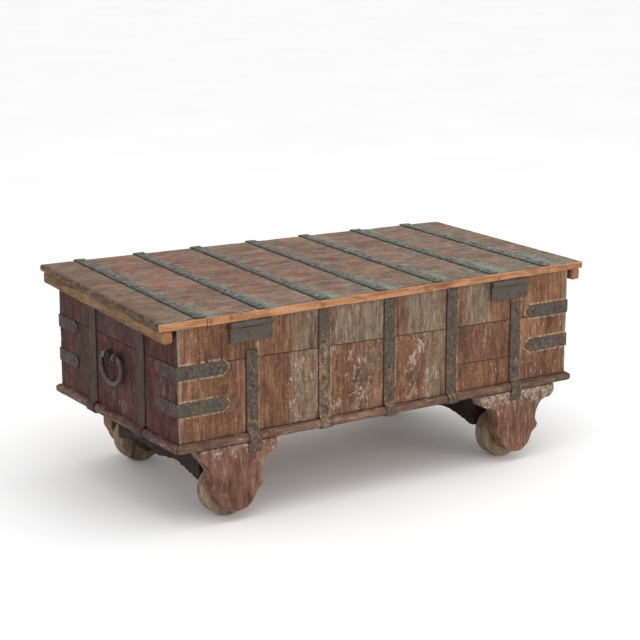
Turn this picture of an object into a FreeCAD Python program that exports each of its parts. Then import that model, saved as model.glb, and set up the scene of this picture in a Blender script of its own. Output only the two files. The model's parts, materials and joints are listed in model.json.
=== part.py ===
import FreeCAD, Part
import math
import os

from FreeCAD import Vector

# Wheeled wooden trunk, in millimetres. +Z is up and the wheels stand on z = 0.
# The long sides face -Y and +Y. The lid is hinged on the -Y side ("hinge side") and opens at the
# +Y side ("open side").

# Box
BODY_LENGTH = 1100.0
BODY_DEPTH = 586.0
WALL = 22.0
RIM_Z = 466.0
PLANK_JOINT_Z = 370.5
PLANK_TAPER = 20.0
JOINT_GAP = 1.0
POST = 30.0
POST_DROP = 4.0

# Base frame and floor
MOULDING_BOTTOM_Z = 183.0
MOULDING_TOP_Z = 205.0
MOULDING_OVERHANG = 12.6
MOULDING_WIDTH = 45.0
NOSE_RADIUS = 9.0
FLOOR_BOARDS = 4

# Lid
LID_LENGTH = 1185.0
LID_THICKNESS = 18.0
LID_LIFT = 22.0
RIM_SHARE = 0.95
LID_FRONT_Y = -299.0
LID_BACK_Y = 305.5
LIPPING = 10.0
LIPPING_HEIGHT = 17.0
LIPPING_JOINTS = (-475.0, -178.0, 486.0)
LIPPING_GAP = 0.6
LID_BOARD_SHARES = (0.269, 0.150, 0.178, 0.178, 0.225)
# The nose at each end of the lid: inset and rise of its outline from the bottom to the top.
LID_NOSE = ((8.0, 0.0), (2.0, 4.0), (0.0, 9.0), (1.5, 15.0), (4.0, 18.0))
BATTEN_WIDTH = 24.0
BATTEN_DEPTH = 28.0
BATTEN_INSET = 7.5
BATTEN_RADIUS = 8.0

# Iron straps
IRON = 2.5
STRAP_WIDTH = 30.0
END_STRAP_WIDTH = 36.0
LID_STRAP_WIDTH = 28.0
BEND = 9.25
STRAP_FLARE_DEG = 50.0
TALL_STRAP_X = (-167.0, 14.0, 195.0)
SHORT_STRAP_X = (-360.0, 388.0)
SHORT_STRAP_TOP_Z = (395.0, 405.0)
STRAP_FOOT_Z = 160.0
END_STRAP_Y = (-125.0, 113.0)
LID_STRAP_FIRST_X = -487.0
LID_STRAP_STEP = 161.5
LID_STRAPS = 7
LID_STRAP_TAIL = 17.0
CORNER_STRAP_HEIGHT = 31.0
# Heights at the left and at the right end.
CORNER_STRAP_Z = {"upper": (366.0, 375.0), "lower": (282.0, 290.0)}
CORNER_ARM_LONG = 128.0
CORNER_ARM_END = 102.0
CORNER_TIP = 13.0
CORNER_TIP_HALF = 5.0

# Hand-forged nails with faceted heads
NAIL_HEAD_RADIUS = 4.6
NAIL_TOP_RADIUS = 2.4
NAIL_HEAD_RISE = 1.6
NAIL_FACETS = 8
TALL_STRAP_NAILS = (444.0, 386.0, 300.0, 232.0)
SHORT_STRAP_NAILS = (384.0, 312.0, 236.0)
END_STRAP_NAILS = (442.0, 340.0, 236.0)
CORNER_NAIL_INSETS = (24.0, 104.0)
CORNER_END_NAIL_INSET = 76.0
LID_NAIL_Y = (-270.0, -120.0, 0.0, 118.0, 285.0)

# Hinges
HINGE_X = (-364.0, 364.0)
PLATE_WIDTH = 108.0
PLATE_BOTTOM_Z = 418.0
PLATE_TOP_Z = 465.0
PLATE_THICKNESS = 7.0
PIN_RADIUS = 3.5
PIN_HEAD_RADIUS = 5.0
PIN_HEAD = 2.0
BARREL_RADIUS = 6.5
BARREL_OUT = 8.0
BARREL_Z = 458.0
LID_KNUCKLE = 44.0
KNUCKLE_GAP = 0.5
PLATE_NOTCH_GAP = 1.5
LID_LEAF_WIDTH = 40.0
LID_LEAF_REACH = 53.0
RECESS_CLEARANCE = 1.0
RUNNING_CLEARANCE = 0.05

# Bail handles on the two ends
BAIL_ROD = 6.5
BAIL_OUT = 11.0
BAIL_PIVOT_Z = 344.0
BAIL_HALF_WIDTH = 50.0
BAIL_SHOULDER = 22.0
BAIL_DROP = 65.0
BAIL_CORNER = 40.0
BAIL_TIP = 10.0
STAPLE_OFFSET = 22.0
STAPLE_WIDTH = 10.0
STAPLE_WALL = 4.0
STAPLE_CLEARANCE = 0.1
STAPLE_DEPTH = 15.0

# Feet. The wheels of the open side stand a little nearer the middle.
WHEEL_X = {-1: 398.0, 1: 377.0}
WHEEL_RADIUS = 61.0
WHEEL_WIDTH = 48.0
WHEEL_INNER_Y = 204.0
WHEEL_ROUNDING = 6.0
AXLE_RADIUS = 8.0
CHEEK_INNER_Y = 255.0
CHEEK_OUTER_Y = 300.0
AXLE_COVER = 12.0
# Shaped foot boards of the hinge side, at the left and right end: shift from the wheel's centre,
# length of the scroll to the left and to the right, and half the waist.
SHAPED_CHEEKS = {-1: (-5.0, 98.0, 110.0, 62.0), 1: (1.0, 115.0, 115.0, 58.0)}
SCROLL_LOW_Z = 171.0
SCROLL_END_Z = 148.0
SCROLL_DROP = 2.0
SCROLL_LIP = (8.0, 7.0)
SCROLL_UNDER = 27.0
NECK_OUT = 20.0
NECK_HOLLOW = (6.0, 26.0)
WAIST_Z = 100.0
KNEE_Z = 80.0
KNEE_OUT = 5.0
KNEE_LOW_Z = 69.0
FOOT_TOP_Z = 64.0
FOOT_BOTTOM_Z = 23.0
FOOT_INSET = 11.0
PLAIN_CHEEK_HALF = 62.0
PLUG_X = -436.0
PLUG_Z = 57.0
PLUG_RADIUS = 13.0
PLUG_RISE = 1.5
BEAM_END_Y = 200.0
BEAM_NEAR_X = 336.0
BEAM_FAR_X = 448.0
LUG_INNER_Y = 164.0
LUG_RADIUS = 27.0
BEAM_END_Z = 75.0
BEAM_FLAT = 14.0
# The double arch below the beam: places across and heights of each half, from the end to the cusp.
BEAM_ARCH = ((138.0, 87.0), (94.0, 94.0), (44.0, 90.0), (0.0, 81.0))

X, Y, Z = Vector(1, 0, 0), Vector(0, 1, 0), Vector(0, 0, 1)
SIGNS = (-1, 1)
# How far each wall is turned from the hinge side, which way it faces, and how far out it stands.
SIDES = {
    "hinge_side": (0, Vector(0, -1, 0), BODY_DEPTH / 2),
    "right_end": (90, Vector(1, 0, 0), BODY_LENGTH / 2),
    "open_side": (180, Vector(0, 1, 0), BODY_DEPTH / 2),
    "left_end": (270, Vector(-1, 0, 0), BODY_LENGTH / 2),
}


def box(x_span, y_span, z_span):
    """A box between its low and high values on each axis."""
    (x0, x1), (y0, y1), (z0, z1) = (sorted(s) for s in (x_span, y_span, z_span))
    return Part.makeBox(x1 - x0, y1 - y0, z1 - z0, Vector(x0, y0, z0))


def rod(radius, start, direction, length):
    return Part.makeCylinder(radius, length, start, direction)


def fuse(shapes):
    first, rest = shapes[0], shapes[1:]
    return first.fuse(rest).removeSplitter() if rest else first


def line(a, b):
    return Part.LineSegment(a, b).toShape()


def arc(a, middle, b):
    return Part.Arc(a, middle, b).toShape()


def slab(edges, depth):
    """The closed outline extruded along a vector."""
    return Part.Face(Part.Wire(Part.__sortEdges__(edges))).extrude(depth)


def on_side(shape, side, along=0.0):
    """Moves a shape modelled against y = 0, facing -Y, onto a wall, at a distance along its axis."""
    angle, outward, distance = SIDES[side]
    placed = shape.copy()
    placed.rotate(Vector(), Z, angle)
    placed.translate(outward * distance + (X if outward.x == 0 else Y) * along)
    return placed


def left_of(direction):
    return (-direction[1], direction[0])


def strip_edge(points, bends, shift):
    """One edge of a bent strip, as straight and rounded runs, at a distance left of the centre line."""
    def unit(a, b):
        length = math.dist(a, b)
        return ((b[0] - a[0]) / length, (b[1] - a[1]) / length)

    def moved(point, direction, amount):
        return (point[0] + direction[0] * amount, point[1] + direction[1] * amount)

    runs = []
    heading = unit(points[0], points[1])
    here = moved(points[0], left_of(heading), shift)
    for corner, following, radius in zip(points[1:-1], points[2:], bends):
        turned = unit(corner, following)
        cross = heading[0] * turned[1] - heading[1] * turned[0]
        side = math.copysign(1.0, cross)
        angle = math.acos(max(-1.0, min(1.0, heading[0] * turned[0] + heading[1] * turned[1])))
        tangent = radius * math.tan(angle / 2)
        start = moved(corner, heading, -tangent)
        centre = moved(start, left_of(heading), side * radius)
        own_radius = radius - side * shift
        arc_start = moved(start, left_of(heading), shift)
        arc_end = moved(moved(corner, turned, tangent), left_of(turned), shift)
        runs.append((here, arc_start))
        if own_radius > 1e-6:
            arc_middle = moved(centre, unit(centre, corner), own_radius)
            runs.append((arc_start, arc_middle, arc_end))
        here, heading = arc_end, turned
    runs.append((here, moved(points[-1], left_of(heading), shift)))
    return runs


def bent_strip(points, bends, thickness, lift, depth):
    """A flat bar bent along a centre line with rounded bends. lift turns a drawing point into a place."""
    one = strip_edge(points, bends, thickness / 2)
    other = strip_edge(points, bends, -thickness / 2)
    runs = one + other + [(one[0][0], other[0][0]), (one[-1][-1], other[-1][-1])]
    edges = [
        line(lift(*run[0]), lift(*run[1])) if len(run) == 2 else arc(*(lift(*p) for p in run))
        for run in runs
        if math.dist(run[0], run[-1]) > 1e-6
    ]
    return slab(edges, depth)


# ---- Base frame, floor, walls and corner posts


def moulding(side):
    """One mitred length of the base moulding, with a rounded nose."""
    length = BODY_DEPTH if side.endswith("end") else BODY_LENGTH
    half = length / 2 + MOULDING_OVERHANG
    inside = MOULDING_WIDTH - MOULDING_OVERHANG
    low, high, r = MOULDING_BOTTOM_Z, MOULDING_TOP_Z, NOSE_RADIUS

    def at(out, z):
        return Vector(-half, -out, z)

    cut = r * (1 - math.sqrt(0.5))
    nose = MOULDING_OVERHANG
    edges = [
        line(at(-inside, low), at(nose - r, low)),
        arc(at(nose - r, low), at(nose - cut, low + cut), at(nose, low + r)),
        line(at(nose, low + r), at(nose, high - r)),
        arc(at(nose, high - r), at(nose - cut, high - cut), at(nose - r, high)),
        line(at(nose - r, high), at(-inside, high)),
        line(at(-inside, high), at(-inside, low)),
    ]
    bar = slab(edges, X * (2 * half))
    back = half - MOULDING_WIDTH
    corners = [(-half, -nose), (half, -nose), (back, inside), (-back, inside)]
    plan = [Vector(x, y, low) for x, y in corners]
    mitres = slab([line(a, b) for a, b in zip(plan, plan[1:] + plan[:1])], Z * (high - low))
    return on_side(bar.common(mitres), side)


def floor_board(index):
    inside_x = BODY_LENGTH / 2 + MOULDING_OVERHANG - MOULDING_WIDTH
    inside_y = BODY_DEPTH / 2 + MOULDING_OVERHANG - MOULDING_WIDTH
    width = 2 * inside_y / FLOOR_BOARDS
    y = -inside_y + index * width
    return box((-inside_x, inside_x), (y, y + width), (MOULDING_BOTTOM_Z, MOULDING_TOP_Z))


def lifted(x, y):
    """How far the warped lid stands above a flat one: most at the left end of the open side."""
    along = (LID_LENGTH / 2 - x) / LID_LENGTH
    across = (y - LID_FRONT_Y) / (LID_BACK_Y - LID_FRONT_Y)
    return LID_LIFT * along * across


def plank(side, layer):
    """One wall plank. The long walls run the full length, and the end walls stand between them.
    The joint slopes, because the planks taper, and the rim has risen with the lid."""
    length = BODY_LENGTH if side.endswith("side") else BODY_DEPTH - 2 * WALL

    def spot(along, height):
        place = on_side(Part.Vertex(along, 0, 0), side).Point
        joint = PLANK_JOINT_Z - PLANK_TAPER * place.x / BODY_LENGTH
        rim = RIM_Z + RIM_SHARE * lifted(place.x, place.y)
        z = {"base": MOULDING_TOP_Z, "below": joint - JOINT_GAP, "above": joint, "rim": rim}[height]
        return Vector(along, 0, z)

    low, high = {"lower": ("base", "below"), "upper": ("above", "rim")}[layer]
    half = length / 2
    spots = [spot(-half, low), spot(half, low), spot(half, high), spot(-half, high)]
    outline = [line(a, b) for a, b in zip(spots, spots[1:] + spots[:1])]
    return on_side(slab(outline, Y * WALL), side)


def corner_posts():
    x_out, y_out = BODY_LENGTH / 2 - WALL, BODY_DEPTH / 2 - WALL
    z_span = (MOULDING_TOP_Z, RIM_Z - POST_DROP)
    return [
        box((sx * (x_out - POST), sx * x_out), (sy * (y_out - POST), sy * y_out), z_span)
        for sx in SIGNS
        for sy in SIGNS
    ]


# ---- Iron straps


def wall_strap_path(top_z, foot_z):
    """Centre line and bends of a strap: down the wall, over the moulding, then down or under it."""
    half = IRON / 2
    flare = math.radians(STRAP_FLARE_DEG)
    nose_line = MOULDING_OVERHANG + half
    nose_centre_out = MOULDING_OVERHANG - NOSE_RADIUS
    nose_centre_z = MOULDING_TOP_Z - NOSE_RADIUS
    # The flared run is tangent to the rounded nose.
    reach = NOSE_RADIUS + half
    offset = nose_centre_out * math.cos(flare) + nose_centre_z * math.sin(flare) + reach
    flare_top = (half, (offset - half * math.cos(flare)) / math.sin(flare))
    flare_foot = (nose_line, (offset - nose_line * math.cos(flare)) / math.sin(flare))
    start = (half, top_z)
    if foot_z is None:
        under_z = MOULDING_BOTTOM_Z - half
        points = [start, flare_top, flare_foot, (nose_line, under_z), (0.0 - NOSE_RADIUS, under_z)]
        return points, (BEND, reach, reach)
    cheek_line = CHEEK_OUTER_Y - BODY_DEPTH / 2 + half
    turn_in_z = MOULDING_BOTTOM_Z + NOSE_RADIUS / 3
    points = [start, flare_top, flare_foot, (nose_line, turn_in_z)]
    points += [(cheek_line, MOULDING_BOTTOM_Z - NOSE_RADIUS), (cheek_line, foot_z)]
    return points, (BEND, reach, BEND, BEND)


def wall_strap(side, along, width, top_z=RIM_Z - 1.0, foot_z=None):
    points, bends = wall_strap_path(top_z, foot_z)
    strap = bent_strip(points, bends, IRON, lambda out, z: Vector(-width / 2, -out, z), X * width)
    return on_side(strap, side, along)


def long_side_straps(side):
    straps = [(x, top_z, STRAP_FOOT_Z) for x, top_z in zip(SHORT_STRAP_X, SHORT_STRAP_TOP_Z)]
    straps += [(x, RIM_Z - 1.0, None) for x in TALL_STRAP_X]
    return [wall_strap(side, x, STRAP_WIDTH, top, foot) for x, top, foot in sorted(straps)]


def corner_strap(sx, sy, centre_z):
    """A flat strap bent round one corner of the box, with pointed tips."""
    half = IRON / 2
    x_line, y_line = BODY_LENGTH / 2 + half, BODY_DEPTH / 2 + half
    x_tip, y_tip = BODY_LENGTH / 2 - CORNER_ARM_LONG, BODY_DEPTH / 2 - CORNER_ARM_END
    low, high = centre_z - CORNER_STRAP_HEIGHT / 2, centre_z + CORNER_STRAP_HEIGHT / 2
    points = [(sx * x_tip, sy * y_line), (sx * x_line, sy * y_line), (sx * x_line, sy * y_tip)]
    band = bent_strip(points, (half,), IRON, lambda x, y: Vector(x, y, low), Z * (high - low))

    def pointed(tip, end, lift, depth):
        shoulder = tip + CORNER_TIP
        outline = [(end, low), (shoulder, low), (tip, centre_z - CORNER_TIP_HALF)]
        outline += [(tip, centre_z + CORNER_TIP_HALF), (shoulder, high), (end, high)]
        spots = [lift(a, z) for a, z in outline]
        return slab([line(a, b) for a, b in zip(spots, spots[1:] + spots[:1])], depth)

    def on_long_side(a, z):
        return Vector(sx * a, sy * (y_line - IRON), z)

    def on_end(a, z):
        return Vector(sx * (x_line - IRON), sy * a, z)

    long_arm = pointed(x_tip, x_line + IRON, on_long_side, Y * (sy * 2 * IRON))
    end_arm = pointed(y_tip, y_line + IRON, on_end, X * (sx * 2 * IRON))
    return band.common(long_arm.fuse(end_arm)).removeSplitter()


def corner_straps(level):
    heights = dict(zip(SIGNS, CORNER_STRAP_Z[level]))
    return [corner_strap(sx, sy, heights[sx]) for sx in SIGNS for sy in SIGNS]


def lid_strap_xs():
    return [LID_STRAP_FIRST_X + LID_STRAP_STEP * i for i in range(LID_STRAPS)]


def warped(runs, stations, place):
    """A straight-sided bar between two stations, lifted with the lid. Each run of the outline is a
    line or an arc, and place turns an outline point and a station into a point of the flat lid."""
    def risen(point, station):
        spot = place(point, station)
        return spot + Z * lifted(spot.x, spot.y)

    def outline(station):
        spots = [[risen(point, station) for point in run] for run in runs]
        return Part.Wire([line(*run) if len(run) == 2 else arc(*run) for run in spots])

    return Part.makeLoft([outline(station) for station in stations], True, True)


def closed(points):
    """The straight runs round a polygon."""
    return list(zip(points, points[1:] + points[:1]))


def across_lid(point, station):
    return Vector(station, point[0], point[1])


def along_lid(point, station):
    return Vector(point[0], station, point[1])


def lid_strap(x):
    """A strap across the lid, from the lipping to the open side, where it turns down over the edge."""
    under = RIM_Z + LID_THICKNESS
    over = under + IRON
    start, end, outside = LID_FRONT_Y + LIPPING, LID_BACK_Y, LID_BACK_Y + IRON
    foot = over - LID_STRAP_TAIL
    outline = [(start, under), (end, under), (end, foot), (outside, foot), (outside, over), (start, over)]
    half = LID_STRAP_WIDTH / 2
    return warped(closed(outline), (x - half, x + half), across_lid)


# ---- Nails


def nail_head(place, outward):
    """A faceted head standing on the iron, facing outward."""
    other = outward.cross(Z if abs(outward.z) < 0.5 else X).normalize()
    across = other.cross(outward)

    def ring(radius, rise):
        centre = place + outward * rise
        turns = [2 * math.pi * i / NAIL_FACETS for i in range(NAIL_FACETS)]
        spots = [centre + (across * math.cos(t) + other * math.sin(t)) * radius for t in turns]
        return Part.makePolygon(spots + spots[:1])

    return Part.makeLoft([ring(NAIL_HEAD_RADIUS, 0), ring(NAIL_TOP_RADIUS, NAIL_HEAD_RISE)], True, True)


def wall_nails(side, along, heights, out=IRON):
    outward = SIDES[side][1]
    marks = [on_side(Part.Vertex(0, -out, z), side, along).Point for z in heights]
    return [nail_head(mark, outward) for mark in marks]


def body_nails():
    nails = []
    for side in ("hinge_side", "open_side"):
        for x in TALL_STRAP_X:
            nails += wall_nails(side, x, TALL_STRAP_NAILS)
        for x in SHORT_STRAP_X:
            nails += wall_nails(side, x, SHORT_STRAP_NAILS)
    for side in ("left_end", "right_end"):
        for y in END_STRAP_Y:
            nails += wall_nails(side, y, END_STRAP_NAILS)
    for heights in CORNER_STRAP_Z.values():
        for sign, end, z in zip(SIGNS, ("left_end", "right_end"), heights):
            for inset in CORNER_NAIL_INSETS:
                for side in ("hinge_side", "open_side"):
                    nails += wall_nails(side, sign * (BODY_LENGTH / 2 - inset), (z,))
            for across in SIGNS:
                nails += wall_nails(end, across * (BODY_DEPTH / 2 - CORNER_END_NAIL_INSET), (z,))
    return nails


def lid_nails():
    top = RIM_Z + LID_THICKNESS + IRON
    nails = []
    for x in lid_strap_xs():
        for y in LID_NAIL_Y:
            slope_x, slope_y = lifted(x + 1, y) - lifted(x, y), lifted(x, y + 1) - lifted(x, y)
            upright = Vector(-slope_x, -slope_y, 1).normalize()
            nails.append(nail_head(Vector(x, y, top + lifted(x, y)), upright))
    return nails


# ---- Hinges


def hinge_axis_y():
    return -BODY_DEPTH / 2 - BARREL_OUT


def hinge_body_leaf(x):
    """The plate on the wall, with the two outer knuckles standing on it."""
    wall_y = -BODY_DEPTH / 2
    half, inner = PLATE_WIDTH / 2, LID_KNUCKLE / 2
    y_span = (wall_y - PLATE_THICKNESS, wall_y)
    plate = box((x - half, x + half), y_span, (PLATE_BOTTOM_Z, PLATE_TOP_Z))
    notch_z = BARREL_Z - BARREL_RADIUS - PLATE_NOTCH_GAP
    notch_half = inner + KNUCKLE_GAP
    notch = box((x - notch_half, x + notch_half), y_span, (notch_z, PLATE_TOP_Z))
    length = half - inner - KNUCKLE_GAP
    starts = (x - half, x + half - length)
    knuckles = [rod(BARREL_RADIUS, Vector(s, hinge_axis_y(), BARREL_Z), X, length) for s in starts]
    hole = rod(PIN_RADIUS, Vector(x - half, hinge_axis_y(), BARREL_Z), X, PLATE_WIDTH)
    return fuse([plate.cut(notch)] + knuckles).cut(hole)


def hinge_lid_leaf(x):
    """The centre knuckle, with a leaf that turns in under the lid."""
    start = Vector(x - LID_KNUCKLE / 2, hinge_axis_y(), BARREL_Z)
    knuckle = rod(BARREL_RADIUS, start, X, LID_KNUCKLE)
    half = LID_LEAF_WIDTH / 2
    y_span = (hinge_axis_y(), hinge_axis_y() + LID_LEAF_REACH)
    leaf = box((x - half, x + half), y_span, (RIM_Z - IRON, RIM_Z))
    return fuse([knuckle, leaf]).cut(rod(PIN_RADIUS + RUNNING_CLEARANCE, start, X, LID_KNUCKLE))


def hinge_pin(x):
    half = PLATE_WIDTH / 2
    start = Vector(x - half, hinge_axis_y(), BARREL_Z)
    heads = [
        rod(PIN_HEAD_RADIUS, start, -X, PIN_HEAD),
        rod(PIN_HEAD_RADIUS, start + X * PLATE_WIDTH, X, PIN_HEAD),
    ]
    return fuse([rod(PIN_RADIUS, start, X, PLATE_WIDTH)] + heads)


def leaf_recess(x):
    """Room in the wall's rim for the lid leaf."""
    half = LID_LEAF_WIDTH / 2 + 2 * RECESS_CLEARANCE
    wall_y = -BODY_DEPTH / 2
    z_span = (RIM_Z - IRON - RECESS_CLEARANCE, RIM_Z + RECESS_CLEARANCE)
    return box((x - half, x + half), (wall_y, wall_y + WALL), z_span)


# ---- Bail handles


def bail_bow(at, ring_z):
    """The lower half of the bail: two corners joined by a flatter arc, all tangent."""
    wide, r = BAIL_HALF_WIDTH, BAIL_CORNER
    depth = ring_z - (BAIL_PIVOT_Z - BAIL_DROP)
    # The flat arc's radius, from its tangency to both corners and its lowest point.
    flat = ((wide - r) ** 2 + depth ** 2 - r ** 2) / (2 * (depth - r))
    rise = flat - depth
    turn = math.atan2(rise, wide - r)
    meet = (flat * math.cos(turn), ring_z + rise - flat * math.sin(turn))
    middle = (wide - r + r * math.cos(turn / 2), ring_z - r * math.sin(turn / 2))
    return [
        arc(at(wide, ring_z), at(*middle), at(*meet)),
        arc(at(*meet), at(0, ring_z - depth), at(-meet[0], meet[1])),
        arc(at(-meet[0], meet[1]), at(-middle[0], middle[1]), at(-wide, ring_z)),
    ]


def bail(side):
    """A round iron ring with a flat top, whose two tips turn in through the staples."""
    def at(along, z):
        return Vector(along, -BAIL_OUT, z)

    pivot, wide, r = BAIL_PIVOT_Z, BAIL_HALF_WIDTH, BAIL_SHOULDER
    ring_z = pivot - r
    near = r * (1 - math.sqrt(0.5))
    path = Part.Wire([
        line(at(BAIL_TIP, pivot), at(wide - r, pivot)),
        arc(at(wide - r, pivot), at(wide - near, pivot - near), at(wide, ring_z)),
        *bail_bow(at, ring_z),
        arc(at(-wide, ring_z), at(near - wide, pivot - near), at(r - wide, pivot)),
        line(at(r - wide, pivot), at(-BAIL_TIP, pivot)),
    ])
    section = Part.Wire([Part.Circle(at(BAIL_TIP, pivot), X, BAIL_ROD).toShape()])
    return on_side(path.makePipeShell([section], True, True), side)


def staples(side):
    """Two iron staples round the bail's tips, with their legs driven into the wall."""
    inner = BAIL_ROD + STAPLE_CLEARANCE
    outer = inner + STAPLE_WALL
    parts = []
    for centre in (-STAPLE_OFFSET, STAPLE_OFFSET):
        start = centre - STAPLE_WIDTH / 2
        axis = Vector(start, -BAIL_OUT, BAIL_PIVOT_Z)
        tube = rod(outer, axis, X, STAPLE_WIDTH).cut(rod(inner, axis, X, STAPLE_WIDTH))
        z_span = (BAIL_PIVOT_Z - outer, BAIL_PIVOT_Z + outer)
        eye = tube.common(box((start, start + STAPLE_WIDTH), (-BAIL_OUT - outer, -BAIL_OUT), z_span))
        legs = [
            box((start, start + STAPLE_WIDTH), (-BAIL_OUT, STAPLE_DEPTH),
                (BAIL_PIVOT_Z + sign * inner, BAIL_PIVOT_Z + sign * outer))
            for sign in SIGNS
        ]
        parts.append(on_side(fuse([eye] + legs), side))
    return parts


# ---- Feet


def cheek(sx, sy):
    """A board outside a wheel with a round foot. On the hinge side it has a scroll under the moulding
    on both sides, a waist and a knee; on the open side it is straight down to the foot."""
    wheel_x = sx * WHEEL_X[sy]
    shift, left, right, waist = SHAPED_CHEEKS[sx] if sy < 0 else (0, 0, 0, PLAIN_CHEEK_HALF)
    foot = waist - FOOT_INSET
    centre = wheel_x + shift
    top = MOULDING_BOTTOM_Z

    def at(out, z):
        return Vector(centre + out, sy * CHEEK_INNER_Y, z)

    edges = [arc(at(-foot, FOOT_TOP_Z), at(0, FOOT_BOTTOM_Z), at(foot, FOOT_TOP_Z))]
    for s, reach in ((-1, left), (1, right)):
        if sy > 0:
            edges.append(line(at(s * waist, top), at(s * waist, KNEE_Z)))
            edges.append(line(at(s * waist, KNEE_Z), at(s * foot, FOOT_TOP_Z)))
            continue
        lip = at(s * (reach - SCROLL_LIP[0]), SCROLL_END_Z + SCROLL_LIP[1])
        under = at(s * (reach - SCROLL_UNDER), SCROLL_END_Z)
        neck = at(s * (waist + NECK_OUT), SCROLL_END_Z - SCROLL_DROP)
        hollow = at(s * (waist + NECK_HOLLOW[0]), WAIST_Z + NECK_HOLLOW[1])
        ankle = at(s * (waist - KNEE_OUT), KNEE_LOW_Z)
        edges += [
            line(at(s * reach, top), at(s * reach, SCROLL_LOW_Z)),
            arc(at(s * reach, SCROLL_LOW_Z), lip, under),
            line(under, neck),
            arc(neck, hollow, at(s * waist, WAIST_Z)),
            arc(at(s * waist, WAIST_Z), at(s * (waist + KNEE_OUT), KNEE_Z), ankle),
            line(ankle, at(s * foot, FOOT_TOP_Z)),
        ]
    ends = (waist, waist) if sy > 0 else (left, right)
    edges.append(line(at(-ends[0], top), at(ends[1], top)))
    board = slab(edges, Y * (sy * (CHEEK_OUTER_Y - CHEEK_INNER_Y)))
    if sx < 0 and sy < 0:
        board = board.fuse(rod(PLUG_RADIUS, Vector(PLUG_X, -CHEEK_INNER_Y, PLUG_Z), -Y, plug_reach()))
    depth = CHEEK_OUTER_Y - CHEEK_INNER_Y - AXLE_COVER
    return board.cut(rod(AXLE_RADIUS, Vector(wheel_x, sy * CHEEK_INNER_Y, WHEEL_RADIUS), Y * sy, depth))


def plug_reach():
    """The wooden plug in the left foot board stands a little proud of its face."""
    return CHEEK_OUTER_Y + PLUG_RISE - CHEEK_INNER_Y


def wheel(x, sy):
    """A solid wooden wheel with rounded rims and a bore that runs on the axle pin."""
    start = Vector(x, sy * WHEEL_INNER_Y, WHEEL_RADIUS)
    disc = rod(WHEEL_RADIUS, start, Y * sy, WHEEL_WIDTH)
    rims = [edge for edge in disc.Edges if isinstance(edge.Curve, Part.Circle)]
    disc = disc.makeFillet(WHEEL_ROUNDING, rims)
    return disc.cut(rod(AXLE_RADIUS + RUNNING_CLEARANCE, start, Y * sy, WHEEL_WIDTH))


def axle_pin(x, sy):
    start = Vector(x, sy * LUG_INNER_Y, WHEEL_RADIUS)
    return rod(AXLE_RADIUS, start, Y * sy, CHEEK_OUTER_Y - AXLE_COVER - LUG_INNER_Y)


def axle_beam(sx):
    """A timber between two wheels, with a double arch below and a lug at each end for the axle pin."""
    top = MOULDING_BOTTOM_Z
    near, far = sorted((sx * BEAM_NEAR_X, sx * BEAM_FAR_X))

    def at(y, z):
        return Vector(near, y, z)

    edges = [line(at(-BEAM_END_Y, top), at(BEAM_END_Y, top))]
    for s in SIGNS:
        flat = s * (BEAM_END_Y - BEAM_FLAT)
        haunch, crown, spandrel, cusp = (at(s * y, z) for y, z in BEAM_ARCH)
        edges += [
            line(at(s * BEAM_END_Y, top), at(s * BEAM_END_Y, BEAM_END_Z)),
            line(at(s * BEAM_END_Y, BEAM_END_Z), at(flat, BEAM_END_Z)),
            arc(at(flat, BEAM_END_Z), haunch, crown),
            arc(crown, spandrel, cusp),
        ]
    solids, holes = [slab(edges, X * (far - near))], []
    depth = BEAM_END_Y - LUG_INNER_Y
    lug_top = BEAM_END_Z + LUG_RADIUS
    for sy in SIGNS:
        x = sx * WHEEL_X[sy]
        start = Vector(x, sy * LUG_INNER_Y, WHEEL_RADIUS)
        y_span = (sy * LUG_INNER_Y, sy * BEAM_END_Y)
        solids.append(box((x - LUG_RADIUS, x + LUG_RADIUS), y_span, (WHEEL_RADIUS, lug_top)))
        solids.append(rod(LUG_RADIUS, start, Y * sy, depth))
        holes.append(rod(AXLE_RADIUS, start, Y * sy, depth))
    return fuse(solids).cut(holes)


# ---- Lid


def lid_board(index):
    """One board along the lid. Both ends are rounded to a nose that overhangs the batten."""
    start = LID_FRONT_Y + LIPPING
    width = LID_BACK_Y - start
    y0 = start + width * sum(LID_BOARD_SHARES[:index])
    last = index == len(LID_BOARD_SHARES) - 1
    y1 = LID_BACK_Y if last else start + width * sum(LID_BOARD_SHARES[: index + 1]) - JOINT_GAP

    def nose(s):
        spots = [(s * (LID_LENGTH / 2 - inset), RIM_Z + rise) for inset, rise in LID_NOSE]
        return [spots[:3], spots[2:]]

    right, left = nose(1), nose(-1)
    runs = [(left[0][0], right[0][0])] + right + [(right[1][2], left[1][2])]
    runs += [tuple(reversed(run)) for run in reversed(left)]
    return warped(runs, (y0, y1), along_lid)


def lid_lipping():
    """Four lengths of pale wood along the lid's edge at the hinge side, with butt joints."""
    stops = (-LID_LENGTH / 2,) + LIPPING_JOINTS + (LID_LENGTH / 2 + LIPPING_GAP,)
    low, high = RIM_Z, RIM_Z + LIPPING_HEIGHT
    front, back = LID_FRONT_Y, LID_FRONT_Y + LIPPING
    outline = closed([(front, low), (back, low), (back, high), (front, high)])
    return [warped(outline, (a, b - LIPPING_GAP), across_lid) for a, b in zip(stops, stops[1:])]


def lid_batten(sx):
    """The bar under one end of the lid, outside the box, with its lower edges rounded."""
    outer = LID_LENGTH / 2 - BATTEN_INSET
    near, far = sorted((sx * outer, sx * (outer - BATTEN_WIDTH)))
    low, high, r = RIM_Z - BATTEN_DEPTH, RIM_Z, BATTEN_RADIUS
    cut = r * (1 - math.sqrt(0.5))
    runs = [
        ((near, high), (near, low + r)),
        ((near, low + r), (near + cut, low + cut), (near + r, low)),
        ((near + r, low), (far - r, low)),
        ((far - r, low), (far - cut, low + cut), (far, low + r)),
        ((far, low + r), (far, high)),
        ((far, high), (near, high)),
    ]
    return warped(runs, (LID_FRONT_Y, LID_BACK_Y), along_lid)


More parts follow.
